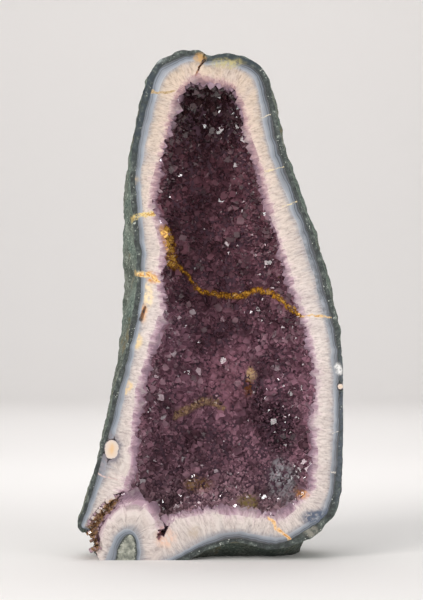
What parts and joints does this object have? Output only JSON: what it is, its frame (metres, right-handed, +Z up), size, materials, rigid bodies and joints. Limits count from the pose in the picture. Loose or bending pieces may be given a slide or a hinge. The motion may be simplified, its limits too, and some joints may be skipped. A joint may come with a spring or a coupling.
{
  "type": "amethyst geode",
  "caption": "Tall geode sawn open down its front: basalt rind, agate band, white quartz and a hollow lined with amethyst crystals; stands on a sawn base.",
  "frame": {"origin": "on the floor, under the middle of the stone's box", "axes": "+Z up the stone, its longest way; -Y is the way the sawn open face looks; +X to the right seen from the front"},
  "size_m": [0.2338, 0.1472, 0.449],
  "materials": {
    "basalt": "rough weathered basalt skin, green-grey celadonite",
    "agate": "sawn, blue-grey banded chalcedony",
    "white_quartz": "sawn, white combed quartz",
    "amethyst": "natural shiny crystal faces, purple",
    "cream_chalcedony": "sawn, cream"
  },
  "bodies": {
    "root": {"basalt_rind": "basalt", "agate_band": "agate", "quartz_layer": "white_quartz", "amethyst_druse": "amethyst", "agate_ring": "agate", "basalt_core": "basalt", "left_nodule": "cream_chalcedony", "right_nodule": "cream_chalcedony"}
  },
  "joints": []
}
